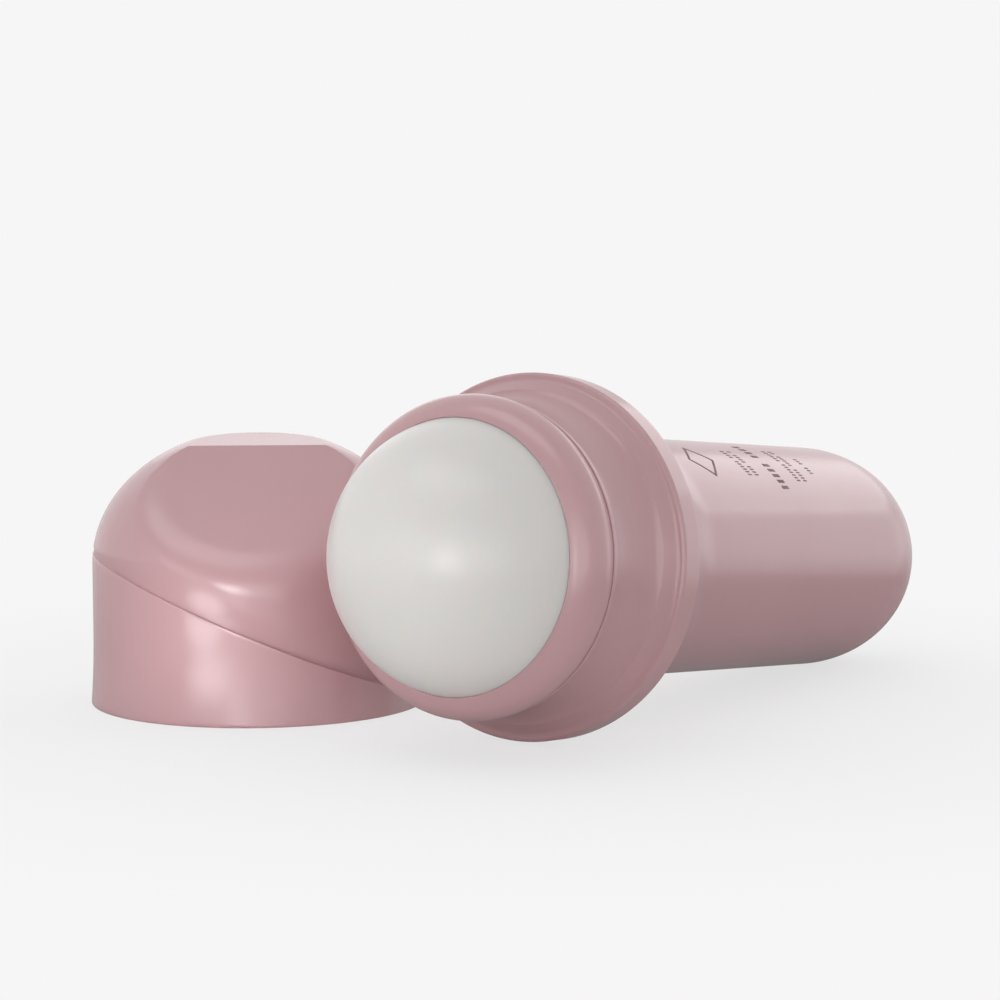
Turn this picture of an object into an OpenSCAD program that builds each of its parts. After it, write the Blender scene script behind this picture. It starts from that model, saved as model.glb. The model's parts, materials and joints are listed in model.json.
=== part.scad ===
// Roll-on bottle for a liquid cosmetic, lying on its side, with its push-on cap standing beside it.
// The bottle, the ball housing and the ball are drawn upright on the bottle's own axis, base at zero.
// The cap is drawn standing on its open rim. Two placing modules then set them down as they lie.

/* [Ball] */
// Radius of the ball
ball_r = 15.875; // [15.5:0.025:16.5]
// Height of the ball's centre above the neck's top
ball_up = 2.57; // [2.2:0.01:3]
// Wall of the hollow ball
ball_wall = 1.4; // [1:0.1:2.5]
// Gap between the ball and its socket
ball_clear = 0.15; // [0.1:0.01:0.2]
// Height of the holding lip above the ball's centre
lip_up = 3.7; // [3.4:0.05:4.2]

/* [Ball housing] */
// Wall of the housing's head round the socket, at its widest
head_wall = 2.25; // [2:0.05:2.6]
// Radius of the head's rounding up to the lip
head_round = 3.6; // [3:0.1:3.8]
// Step in from the head's widest ring to the collar under it
collar_in = 0.3; // [0.2:0.02:0.5]
// Height of the collar, up to the fine step line
collar_h = 0.9; // [0.6:0.05:1.2]
// Depth of the fine step line over the collar
line_depth = 0.15; // [0.1:0.01:0.25]
// Depth of the plug below the neck's top
plug_l = 9.5; // [8:0.1:10]
// Wall of the housing's socket cup and plug
housing_wall = 0.9; // [0.7:0.05:1]
// Radius of the opening at the bottom of the socket
feed_r = 9; // [7:0.1:10.5]
// Width of each feed notch
notch_w = 2.2; // [1.5:0.1:3]
// Length of each feed notch out from the opening
notch_l = 1.6; // [1:0.1:2]
// Number of feed notches round the opening
feed_notches = 6; // [3:1:8]
// Half thickness of the bead that holds the plug in the neck
bead_r = 0.3; // [0.2:0.02:0.4]

/* [Neck and shoulder] */
// Height of the neck's top above the widest plane of the flange
neck_up = 11; // [10:0.05:12]
// Overhang of the housing's collar beyond the neck
collar_over = 0.8; // [0.6:0.05:1]
// Wall of the neck round the plug
neck_wall = 0.8; // [0.7:0.05:1]
// Straight part of the neck under the collar
neck_land = 0.9; // [0.5:0.1:1.5]
// Height of the shoulder's front edge above the widest plane
front_edge_up = 3.8; // [3.5:0.05:4.2]
// Width of the slope from the front edge out to the cap's ledge
slope_w = 1; // [0.8:0.05:1.2]
// Height of the cap's ledge above the widest plane
ledge_up = 2.4; // [2:0.05:2.8]
// Rounding of the shoulder's front edge
edge_round = 0.4; // [0.2:0.05:0.5]
// Amount by which the flange stands proud of the closed cap's rim
flange_proud = 0.05; // [0:0.01:0.3]
// Rounding of the flange's edges
flange_round = 0.5; // [0.3:0.05:0.7]
// Drop of the flange's straight outer skirt below its widest plane
skirt_drop = 0.8; // [0.5:0.05:1.5]
// Drop from the widest plane to the top of the flare
flare_drop = 3.4; // [2.8:0.1:4]
// Step in from the flange's skirt to the top of the flare
flare_in = 1.8; // [1.4:0.1:2.4]
// Length of the flare from the widest plane down to the waist
flare_l = 17.5; // [14:0.1:20]

/* [Bottle] */
// Height from the base to the widest plane of the flange
flange_h = 83.3; // [70:0.1:100]
// Outer radius of the body just above the base rounding
body_r = 15.1; // [14.6:0.05:16]
// Outer radius of the body where the flare begins
waist_r = 14.7; // [14.2:0.05:15.2]
// Wall of the bottle
bottle_wall = 1.2; // [0.9:0.05:1.5]
// Height of the rounded end of the base
base_round_h = 16.3; // [12:0.1:20]
// Flat foot radius of the base
foot_r = 5.9; // [4.5:0.1:7]
// Width of the flat ring that the base stands on
foot_land = 1.4; // [1:0.1:2]
// Depth of the hollow under the foot
push_up = 1.2; // [0.6:0.1:2]

/* [Cap] */
// Wall of the cap's sides
cap_wall = 1.7; // [1.5:0.05:2]
// Wall of the cap's dome, top face and facet
dome_wall = 1.6; // [1.3:0.05:1.8]
// Height of the cap's top face on the axis
cap_h = 33.2; // [32.5:0.1:35]
// Outward flare of the cap's open rim
rim_flare = 0.35; // [0.1:0.05:0.6]
// Height over which the rim flares out
rim_flare_h = 9; // [5:0.5:12]
// Width of the rim's flat face, which stands on the ledge
rim_land = 0.75; // [0.6:0.05:0.9]
// Height where the dome begins
dome_from = 17.8; // [16.5:0.1:19]
// Height of the whole dome, before its top is cut flat
dome_h = 16.8; // [16:0.1:18]
// Tilt of the top face down towards the facet, degrees
top_tilt = 6; // [3:0.5:9]
// Lean of the big front facet from upright, degrees
facet_lean = 50.4; // [48:0.1:53]
// Height where the facet runs out on the wall
facet_foot = 18.8; // [18:0.1:20]
// Height of the diagonal step on the axis
step_h = 10.3; // [9.5:0.1:12]
// Slope of the diagonal step, degrees
step_slope = 23.1; // [15:0.1:24]
// Depth of the diagonal step at its deep side
step_depth = 0.5; // [0.3:0.05:0.6]
// Inward lean of the wall above the step, degrees
step_lean = 1.5; // [0:0.1:1.8]

/* [Cap liner] */
// Wall of the liner's sleeve
liner_wall = 0.8; // [0.6:0.05:1]
// Gap between the closed liner and the housing's widest ring
liner_clear = 0.15; // [0.1:0.01:0.2]
// Gap between the liner's sleeve and the cap's wall
liner_fit = 0.04; // [0.02:0.01:0.1]
// Height of the liner's lower edge above the cap's rim
liner_from = 4; // [3:0.1:4.8]
// Reach of the snap bead in from the liner's bore
snap_reach = 0.65; // [0.5:0.05:0.75]
// Thickness of the liner's sealing roof
roof_t = 1; // [0.8:0.1:1.4]
// Gap between the closed roof's sealing rib and the lip
seal_gap = 0.1; // [0.05:0.01:0.2]
// Height and half width of the roof's sealing rib
rib_h = 0.5; // [0.3:0.05:0.7]

/* [Placing] */
// Gap between the cap and the bottle's shoulder as they lie, across the bottle
cap_gap = 1.4; // [1:0.1:20]
// Distance of the cap's axis behind the flange, along the bottle
cap_back = 3.1; // [0:0.1:20]
// Direction that the facet faces, degrees round from the base end
facet_turn = 219.6; // [200:0.1:240]

/* [Hidden] */
$fn = 120;
// Overrun of cuts past the faces that they open
over = 1;
// Points on each drawn arc of a profile
arc_n = 12;

// Radii from the ball outwards: socket, housing, liner, cap and flange
socket_r = ball_r + ball_clear;
socket_out = socket_r + housing_wall;
head_r = socket_r + head_wall;
collar_r = head_r - collar_in;
neck_r = collar_r - collar_over;
liner_in = head_r + liner_clear;
liner_out = liner_in + liner_wall;
cap_in = liner_out + liner_fit;
cap_r = cap_in + cap_wall;
cap_rim_r = cap_r + rim_flare;
flange_r = cap_rim_r + flange_proud;

// Upright heights of the bottle's and the housing's features
ledge_h = flange_h + ledge_up;
front_edge_h = flange_h + front_edge_up;
neck_top = flange_h + neck_up;
ball_h = neck_top + ball_up;
lip_h = ball_h + lip_up;
waist_h = flange_h - flare_l;

// Rounded base end: an ellipse in the profile
base_round_r = body_r - foot_r;
push_up_r = foot_r - foot_land;

// Flare from the waist up to the flange: one hollow arc that starts along the waist
flare_rise = flange_r - flare_in - waist_r;
flare_run = flare_l - flare_drop;
flare_arc_r = (flare_run * flare_run + flare_rise * flare_rise) / (2 * flare_rise);
flare_arc_end = asin(flare_run / flare_arc_r);

// Cap's seat on the shoulder: its rim stands on the ledge, round the slope
seat_clear = 0.1;
rim_in = cap_rim_r - rim_land;
ledge_r = rim_in - seat_clear;
front_edge_r = ledge_r - slope_w;
cap_base = ledge_h;
rim_cham_h = (rim_in - cap_in) * (front_edge_up - ledge_up) / slope_w;

// Cove from the neck down to the front edge: an elliptic hollow that meets the edge's rounding
slope_turn = 41;
edge_turn = 66;
cove_turn = 80;
edge_mid_r = front_edge_r - edge_round;
edge_mid_h = front_edge_h - edge_round;
cove_end_r = edge_mid_r + edge_round * cos(edge_turn);
cove_end_h = edge_mid_h + edge_round * sin(edge_turn);
cove_rx = (cove_end_r - neck_r) / (1 - cos(cove_turn));
cove_ry = (neck_top - neck_land - cove_end_h) / sin(cove_turn);

// Bore of the neck and the plug that fills it
neck_bore = neck_r - neck_wall;
plug_clear = 0.03;
plug_r = neck_bore - plug_clear;
plug_lo = neck_top - plug_l;
bead_h = neck_top - plug_l / 2;

// Socket cup of the ball, down to its seat
seat_r = feed_r + housing_wall;
cup_lo = ball_h - sqrt(socket_r * socket_r - seat_r * seat_r) - housing_wall;

// Holding lip: where the head's rounding meets the socket's sphere
lip_in = sqrt(socket_r * socket_r - lip_up * lip_up);
lip_turn = acos((lip_in - head_r + head_round) / head_round);
lip_edge_h = lip_h - head_round + head_round * sin(lip_turn);
head_low_turn = -20;

// Plane of the cap's facet: its distance from the axis foot, along its normal
facet_off = cap_r * cos(facet_lean) + facet_foot * sin(facet_lean);

// Liner: the snap bead reaches under the collar, and the roof stops above the lip
snap_drop_share = 0.75;
liner_snap_r = liner_in - snap_reach;
liner_snap_h = neck_top - cap_base - snap_drop_share * snap_reach;
rib_mid_r = lip_in + 1.5 * rib_h;
rib_in = rib_mid_r - head_r + head_round;
rib_tip_h = lip_h - head_round + sqrt(head_round * head_round - rib_in * rib_in) + seal_gap - cap_base;
roof_h = rib_tip_h + rib_h;

// How the lying bottle rests: the tilt at which the flange and the base touch the same floor
tilt_most = 12;
tilt_rounds = 40;
function flange_reach(a) =
    (flange_r - flange_round) * cos(a) + skirt_drop * sin(a) + flange_round;
function base_reach(a) =
    (flange_h - base_round_h) * sin(a) + foot_r * cos(a)
    + norm([base_round_h * sin(a), base_round_r * cos(a)]);
function rest_tilt(lo, hi, n) =
    n == 0 ? (lo + hi) / 2
    : flange_reach((lo + hi) / 2) > base_reach((lo + hi) / 2) ? rest_tilt((lo + hi) / 2, hi, n - 1)
    : rest_tilt(lo, (lo + hi) / 2, n - 1);
tilt = rest_tilt(0, tilt_most, tilt_rounds);
rest_h = flange_reach(tilt);

// Reach of what lies on the floor, along the bottle and to the side, to centre it on the origin
reach_front = (neck_up + ball_up) * cos(tilt) + ball_r;
reach_back = (flange_h - base_round_h) * cos(tilt) + foot_r * sin(tilt)
    + norm([base_round_h * cos(tilt), base_round_r * sin(tilt)]);
cap_side = flange_r + cap_gap + cap_rim_r;
mid_x = (reach_back - reach_front) / 2;
mid_y = (cap_side + cap_rim_r - flange_r) / 2;

// Points of an arc or a quarter ellipse, from angle a0 to a1
function arc(c, rx, ry, a0, a1, n = arc_n) =
    [for (i = [0:n]) let (a = a0 + (a1 - a0) * i / n) [c[0] + rx * cos(a), c[1] + ry * sin(a)]];

// Outer profile of the bottle, from the foot up to the neck's top
function bottle_outline() = concat(
    arc([0, 0], push_up_r, push_up, 90, 0, arc_n / 2),
    arc([foot_r, base_round_h], base_round_r, base_round_h, -90, 0, 1.5 * arc_n),
    arc([waist_r + flare_arc_r, waist_h], flare_arc_r, flare_arc_r, 180, 180 - flare_arc_end),
    arc([flange_r - flange_round, flange_h - skirt_drop], flange_round, flange_round,
        -60, 0, arc_n / 3),
    arc([flange_r - flange_round, ledge_h - flange_round], flange_round, flange_round,
        0, 90, arc_n / 3),
    [[ledge_r, ledge_h]],
    arc([edge_mid_r, edge_mid_h], edge_round, edge_round, slope_turn, edge_turn, arc_n / 4),
    arc([neck_r + cove_rx, neck_top - neck_land], cove_rx, cove_ry, 180 + cove_turn, 180),
    [[neck_r, neck_top], [0, neck_top]]);

// Inner profile of the bottle: one wall inside the outer one up to the flange, then in to the bore
in_foot_r = foot_r - bottle_wall / 2;
in_body_r = body_r - bottle_wall;
in_floor_h = push_up + bottle_wall;
in_flare_r = flare_arc_r + bottle_wall;
in_top_r = waist_r + flare_arc_r - in_flare_r * cos(flare_arc_end);
in_top_h = waist_h + in_flare_r * sin(flare_arc_end);
bore_lo = plug_lo - bottle_wall;
function bottle_room() = concat(
    [[0, in_floor_h]],
    arc([in_foot_r, base_round_h], in_body_r - in_foot_r, base_round_h - in_floor_h,
        -90, 0, 1.5 * arc_n),
    arc([waist_r + flare_arc_r, waist_h], in_flare_r, in_flare_r, 180, 180 - flare_arc_end),
    arc([neck_bore, in_top_h], in_top_r - neck_bore, bore_lo - in_top_h, 0, 90, arc_n / 2),
    [[neck_bore, neck_top + over], [0, neck_top + over]]);

// Hollow blown bottle with its rounded base, waist, flare, shoulder flange and neck
module bottle_body() {
    color([0.74, 0.60, 0.615])
    lay_bottle() {
        difference() {
            rotate_extrude() polygon(bottle_outline());
            rotate_extrude() polygon(bottle_room());
            translate([0, 0, bead_h]) ring_bead(neck_bore, bead_r);
        }
    }
}

// Round bead on a cylinder of radius r, by half its thickness
module ring_bead(r, size) {
    rotate_extrude() translate([r, 0]) circle(r = size, $fn = 24);
}

// Outline of the housing's head: collar edge, fine step line, rounded side and holding lip
function head_outline() = concat(
    [[lip_in - housing_wall, lip_edge_h], [plug_r - housing_wall, neck_top], [collar_r, neck_top],
     [collar_r, neck_top + collar_h - line_depth],
     [collar_r - line_depth, neck_top + collar_h - line_depth],
     [collar_r - line_depth, neck_top + collar_h]],
    arc([head_r - head_round, lip_h - head_round], head_round, head_round, head_low_turn, lip_turn));

// Snap-in housing: head with the holding lip, socket cup with its seat, and the plug in the neck
module ball_housing() {
    color([0.72, 0.575, 0.595])
    lay_bottle() {
        difference() {
            union() {
                rotate_extrude() polygon(head_outline());
                socket_cup();
                plug_skirt();
            }
            translate([0, 0, ball_h]) sphere(r = socket_r);
            translate([0, 0, cup_lo - over]) cylinder(r = feed_r, h = plug_l);
            feed_cuts();
        }
    }
}

// Cup under the ball: a shell round the socket, cut level at the seat
module socket_cup() {
    intersection() {
        translate([0, 0, ball_h]) sphere(r = socket_out);
        translate([0, 0, cup_lo]) cylinder(r = plug_r, h = neck_top - cup_lo);
    }
}

// Plug skirt that seals in the neck, with its retaining bead
module plug_skirt() {
    difference() {
        union() {
            translate([0, 0, plug_lo]) cylinder(r = plug_r, h = plug_l);
            translate([0, 0, bead_h]) ring_bead(plug_r, bead_r - plug_clear);
        }
        translate([0, 0, plug_lo - over]) cylinder(r = plug_r - housing_wall, h = plug_l + 2 * over);
    }
}

// Notches that let the liquid past the seat to the ball
module feed_cuts() {
    for (i = [0:feed_notches - 1])
        rotate([0, 0, i * 360 / feed_notches])
            translate([feed_r - over, -notch_w / 2, cup_lo - over])
                cube([notch_l + over, notch_w, plug_l]);
}

// Hollow ball that carries the liquid out
module roller_ball() {
    color([0.90, 0.895, 0.885])
    lay_bottle() {
        translate([0, 0, ball_h])
        difference() {
            sphere(r = ball_r);
            sphere(r = ball_r - ball_wall);
        }
    }
}

// Revolved outline of the cap: flared rim, wall and dome
function cap_outline() = concat(
    [[0, 0], [cap_rim_r, 0]],
    [for (i = [1:4]) let (s = i / 4) [cap_rim_r - rim_flare * s * (2 - s), rim_flare_h * s]],
    arc([0, dome_from], cap_r, dome_h, 0, 90, 2 * arc_n));

// Room inside the cap before the facet's wall: seat chamfer, wall and dome
function cap_room() = concat(
    [[0, -over], [rim_in, -over], [rim_in, 0], [cap_in, rim_cham_h]],
    arc([0, dome_from], cap_in, dome_h - dome_wall, 0, 90, 2 * arc_n));

// Half space behind the facet, grown inward by a wall; its outward side faces +x
module facet_side(inset) {
    size = 4 * cap_r;
    rotate([0, -facet_lean, 0])
        translate([facet_off - inset - size, -size / 2, -size / 2]) cube(size);
}

// Half space under the top face, lowered by a wall
module top_side(inset) {
    size = 4 * cap_r;
    translate([0, 0, cap_h])
        rotate([0, top_tilt, 0])
            translate([-size / 2, -size / 2, -inset - size]) cube(size);
}

// What is left of the wall at the diagonal step: all below it, a leaning round core above it
module step_keep() {
    size = 4 * cap_r;
    core_r = cap_r - step_depth / 2;
    translate([0, 0, step_h])
        rotate([-step_slope, 0, 0])
            translate([-size / 2, -size / 2, -size]) cube(size);
    translate([0, -step_depth / 2, dome_from])
        rotate([-step_lean, 0, 0])
            translate([0, 0, -size / 2]) cylinder(r = core_r, h = size);
}

// Moulded cap with its dome, top face, big leaning facet and diagonal step
module cap_shell() {
    color([0.745, 0.61, 0.62])
    lay_cap() {
        difference() {
            intersection() {
                rotate_extrude() polygon(cap_outline());
                facet_side(0);
                top_side(0);
                step_keep();
            }
            intersection() {
                rotate_extrude() polygon(cap_room());
                facet_side(dome_wall);
                top_side(dome_wall);
            }
        }
    }
}

// Profile of the liner: sleeve, sealing roof with its rib, and snap bead
function liner_outline() = [
    [liner_out, liner_from],
    [liner_out, roof_h + roof_t],
    [lip_in, roof_h + roof_t],
    [lip_in, roof_h],
    [rib_mid_r - rib_h, roof_h],
    [rib_mid_r, rib_tip_h],
    [rib_mid_r + rib_h, roof_h],
    [liner_in, roof_h],
    [liner_in, liner_snap_h + snap_reach],
    [liner_snap_r, liner_snap_h],
    [liner_in, liner_snap_h - snap_reach],
    [liner_in, liner_from]];

// Soft liner inside the cap, which snaps under the collar and seals on the lip
module cap_liner() {
    color([0.93, 0.92, 0.91])
    lay_cap() rotate_extrude() polygon(liner_outline());
}

// Sets the upright bottle down on its flange and its base, ball end towards -x
module lay_bottle() {
    translate([-mid_x, -mid_y, rest_h])
        rotate([0, tilt - 90, 0])
            translate([0, 0, -flange_h])
                children();
}

// Stands the cap beside the bottle's shoulder, facet turned to its side
module lay_cap() {
    translate([cap_back - mid_x, cap_side - mid_y, 0])
        rotate([0, 0, facet_turn])
            children();
}

bottle_body();
ball_housing();
roller_ball();
cap_shell();
cap_liner();
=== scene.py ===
"""A rose roll-on bottle lying on its flange, with its faceted cap standing beside it.

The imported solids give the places. Each class below rebuilds one piece as a finished mesh with
rounded edges and its own material, and the studio class gives the camera, the lights and the floor.
"""

import json
import logging
import math
from dataclasses import dataclass
from enum import Enum
from typing import Callable, Sequence

import bmesh
import bpy
from mathutils import Matrix, Vector


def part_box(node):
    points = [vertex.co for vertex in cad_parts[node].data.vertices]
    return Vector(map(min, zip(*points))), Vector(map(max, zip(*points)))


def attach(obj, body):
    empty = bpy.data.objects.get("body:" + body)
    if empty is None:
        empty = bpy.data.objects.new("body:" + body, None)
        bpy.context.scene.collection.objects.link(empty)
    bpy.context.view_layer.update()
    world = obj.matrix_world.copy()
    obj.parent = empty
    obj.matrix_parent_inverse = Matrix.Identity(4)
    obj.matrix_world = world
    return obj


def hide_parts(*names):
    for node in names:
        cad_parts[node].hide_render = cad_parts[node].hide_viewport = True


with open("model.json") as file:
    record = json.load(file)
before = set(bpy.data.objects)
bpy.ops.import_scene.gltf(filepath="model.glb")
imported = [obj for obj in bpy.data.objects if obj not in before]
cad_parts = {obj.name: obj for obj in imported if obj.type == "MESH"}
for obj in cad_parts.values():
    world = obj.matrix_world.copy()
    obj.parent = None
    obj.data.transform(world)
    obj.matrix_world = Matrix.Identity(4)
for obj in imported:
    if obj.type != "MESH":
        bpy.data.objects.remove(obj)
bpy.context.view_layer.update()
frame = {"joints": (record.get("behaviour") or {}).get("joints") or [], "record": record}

MM = 0.001
LOG = logging.getLogger("roll_on_bottle")

# Vertices nearer than this merge, edges sharper than this angle in degrees stay sharp, and large
# faces weigh this much in the shading of the edges beside them.
WELD = 2e-7
SHARP_ANGLE = 32
FACE_WEIGHT = 60

# Stretches shorter than this aren't rounded, nor are corners whose half angle in degrees lies
# outside these limits, which are nearly folded or nearly straight.
TOO_SHORT = 1e-9
FOLDED, STRAIGHT = 1.0, 89.5

# Lines with a cross product under this count as parallel, and two lines' meeting point is used
# where it lies between these shares of the way to the point that the first line heads for.
PARALLEL = 1e-12
NEAREST, FARTHEST = 0.3, 1.7

# Where a turn's cosine is no more than this, it runs along a leaning plane and not down it.
ALONG = 1e-6

# Features of the plastic's flow mottle and of its skin texture in a metre.
FLOW_SCALE = 90.0
SKIN_SCALE = 2600.0

Point = tuple[float, float]
Spot = tuple[float, float, float]
Colour = tuple[float, float, float, float]
Piece = bpy.types.Object
Tree = bpy.types.NodeTree
Socket = bpy.types.NodeSocket


class Body(Enum):
    """The bodies that pieces ride on."""

    BOTTLE = "bottle"
    ROLLER = "roller"
    CAP = "cap"


class Slot(Enum):
    """The record's material slots."""

    BOTTLE = "bottle"
    HOUSING = "housing"
    BALL = "ball"
    CAP = "cap"
    LINER = "liner"


def linear(red: int, green: int, blue: int) -> Colour:
    """Turns a screen colour into the linear one that a shader takes.

    Args:
        red: The screen's red, 0 to 255.
        green: The screen's green, 0 to 255.
        blue: The screen's blue, 0 to 255.

    Returns:
        The linear colour with an alpha of one.
    """
    channels = []
    for value in (red, green, blue):
        share = value / 255
        channels.append(share / 12.92 if share <= 0.04045 else ((share + 0.055) / 1.055) ** 2.4)
    return (channels[0], channels[1], channels[2], 1.0)


def mix_points(start: Point, end: Point, share: float) -> Point:
    """Returns the point that lies a share of the way from start to end."""
    return (start[0] + (end[0] - start[0]) * share, start[1] + (end[1] - start[1]) * share)


def distance(start: Point, end: Point) -> float:
    """Returns the distance between two outline points."""
    return math.hypot(end[0] - start[0], end[1] - start[1])


def unit(start: Point, end: Point) -> Point:
    """Returns the direction from start to end, with a length of one."""
    length = distance(start, end)
    return ((end[0] - start[0]) / length, (end[1] - start[1]) / length)


def moved(start: Point, end: Point, length: float) -> Point:
    """Returns the point that lies a length away from start, towards end."""
    way = unit(start, end)
    return (start[0] + way[0] * length, start[1] + way[1] * length)


def half_angle(before: Point, corner: Point, after: Point) -> float:
    """Measures a corner.

    Args:
        before: A point on its first side.
        corner: The corner.
        after: A point on its second side.

    Returns:
        Half of its inside angle, in radians.
    """
    first, second = unit(corner, before), unit(corner, after)
    cosine = max(-1.0, min(1.0, first[0] * second[0] + first[1] * second[1]))
    return math.acos(cosine) / 2


def arc(centre: Point, radii: Point, start: float, end: float, steps: int) -> list[Point]:
    """Makes the points of an elliptic arc.

    Args:
        centre: The arc's centre, as radius and height.
        radii: Its half sizes along radius and height.
        start: The angle where it starts, in degrees.
        end: The angle where it ends, in degrees.
        steps: The number of steps between the ends.

    Returns:
        The points in order.
    """
    points = []
    for index in range(steps + 1):
        angle = math.radians(start + (end - start) * index / steps)
        points.append((centre[0] + radii[0] * math.cos(angle), centre[1] + radii[1] * math.sin(angle)))
    return points


def circle(centre: Point, radius: float, start: float, end: float, steps: int) -> list[Point]:
    """Returns the points of a circular arc between two angles in degrees."""
    return arc(centre, (radius, radius), start, end, steps)


def stretch(start: Point, end: Point, steps: int) -> list[Point]:
    """Returns the points inside a straight stretch, without its two ends."""
    return [mix_points(start, end, index / steps) for index in range(1, steps)]


def fillet(near: Point, corner: Point, far: Point, half: float, steps: int) -> list[Point]:
    """Draws the circular arc that touches both sides of a corner.

    Args:
        near: Where the arc leaves the first side.
        corner: The corner itself.
        far: Where the arc meets the second side.
        half: Half of the corner's inside angle, in radians.
        steps: The number of steps along the arc.

    Returns:
        The points from near to far.
    """
    points = []
    for index in range(steps + 1):
        share = index / steps
        parts = ((1 - share) ** 2, 2 * share * (1 - share) * math.sin(half), share**2)
        total = parts[0] + parts[1] + parts[2]
        radius = (parts[0] * near[0] + parts[1] * corner[0] + parts[2] * far[0]) / total
        height = (parts[0] * near[1] + parts[1] * corner[1] + parts[2] * far[1]) / total
        points.append((radius, height))
    return points


def rounded(
    before: Point, corner: Point, after: Point, radius: float, steps: int, room: float = 0.48
) -> list[Point]:
    """Rounds one corner of an outline, always with the same number of points.

    Args:
        before: The point before the corner.
        corner: The corner.
        after: The point after the corner.
        radius: The wanted radius, which short neighbours may limit.
        steps: The number of steps along the rounding.
        room: The share of each side that the rounding may take.

    Returns:
        The points of the rounding, from the side of before to the side of after.
    """
    room_in, room_out = distance(before, corner), distance(corner, after)
    if min(room_in, room_out) < TOO_SHORT or radius <= 0:
        return [corner] * (steps + 1)
    half = half_angle(before, corner, after)
    if half > math.radians(STRAIGHT) or half < math.radians(FOLDED):
        return [corner] * (steps + 1)
    cut = min(radius / math.tan(half), room * room_in, room * room_out)
    return fillet(moved(corner, before, cut), corner, moved(corner, after, cut), half, steps)


def crossing(start: Point, onward: Point, end: Point, behind: Point) -> Point:
    """Finds where the line from start through onward meets the line through end and behind.

    Args:
        start: The first line's start.
        onward: The point that it heads for, near the meeting point.
        end: The second line's near point.
        behind: A point farther along the second line.

    Returns:
        The meeting point, or onward where the lines are parallel or meet far from it.
    """
    in_r, in_h = onward[0] - start[0], onward[1] - start[1]
    out_r, out_h = end[0] - behind[0], end[1] - behind[1]
    cross = in_r * out_h - in_h * out_r
    if abs(cross) > PARALLEL:
        share = ((end[0] - start[0]) * out_h - (end[1] - start[1]) * out_r) / cross
        if NEAREST < share < FARTHEST:
            return (start[0] + in_r * share, start[1] + in_h * share)
    return onward


def last_passing(
    low: float, high: float, passes: Callable[[float], bool], halvings: int = 50
) -> float:
    """Closes in on the last value of a range that passes a test.

    Args:
        low: A value that passes.
        high: A value that doesn't.
        passes: The test.
        halvings: How often the range is halved.

    Returns:
        The largest value found that passes.
    """
    for _ in range(halvings):
        middle = (low + high) / 2
        if passes(middle):
            low = middle
        else:
            high = middle
    return low


def even_turns(count: int) -> list[float]:
    """Returns evenly spaced angles of one full turn, in radians."""
    return [2 * math.pi * index / count for index in range(count)]


def linked(name: str, data: bpy.types.ID) -> Piece:
    """Makes an object of its data and links it to the scene.

    Args:
        name: The object's name.
        data: Its mesh, lamp or camera data.

    Returns:
        The object.
    """
    made = bpy.data.objects.new(name, data)
    bpy.context.scene.collection.objects.link(made)
    return made


def spin(
    name: str,
    outline_at: Callable[[float], Sequence[Point]],
    turns: Sequence[float],
    place: Matrix,
    closed: bool = True,
) -> Piece:
    """Makes a mesh from an outline that may change as it goes round its axis.

    Args:
        name: The new object's name.
        outline_at: Gives the outline at an angle, always with as many points.
        turns: The angles, in radians, in order.
        place: Sets the finished mesh down in the frame.
        closed: Whether the outline's last point joins its first.

    Returns:
        The new object, with smooth faces and merged poles.
    """
    rings = [outline_at(turn) for turn in turns]
    rows = len(rings[0])
    vertices = [
        (radius * math.cos(turn), radius * math.sin(turn), height)
        for turn, ring in zip(turns, rings)
        for radius, height in ring
    ]
    faces = []
    for ring_index in range(len(turns)):
        here = ring_index * rows
        there = (ring_index + 1) % len(turns) * rows
        for row in range(rows if closed else rows - 1):
            after = (row + 1) % rows
            faces.append((here + row, there + row, there + after, here + after))
    mesh = bpy.data.meshes.new(name)
    mesh.from_pydata(vertices, [], faces)
    return finish_mesh(name, mesh, place)


def finish_mesh(name: str, mesh: bpy.types.Mesh, place: Matrix) -> Piece:
    """Welds a mesh, turns its faces outwards, places it and links its object.

    Args:
        name: The new object's name.
        mesh: The raw mesh.
        place: Sets the mesh down in the frame.

    Returns:
        The linked object.
    """
    work = bmesh.new()
    work.from_mesh(mesh)
    bmesh.ops.remove_doubles(work, verts=work.verts, dist=WELD)
    bmesh.ops.dissolve_degenerate(work, edges=work.edges, dist=WELD)
    bmesh.ops.recalc_face_normals(work, faces=work.faces)
    for face in work.faces:
        face.smooth = True
    work.to_mesh(mesh)
    work.free()
    mesh.transform(place)
    mesh.set_sharp_from_angle(angle=math.radians(SHARP_ANGLE))
    return linked(name, mesh)


def even_shading(piece: Piece) -> None:
    """Adds a modifier that lets large faces set the shading at rounded edges.

    Args:
        piece: The piece that takes it.
    """
    weighted = piece.modifiers.new("even_shading", "WEIGHTED_NORMAL")
    weighted.keep_sharp = True
    weighted.weight = FACE_WEIGHT


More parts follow.
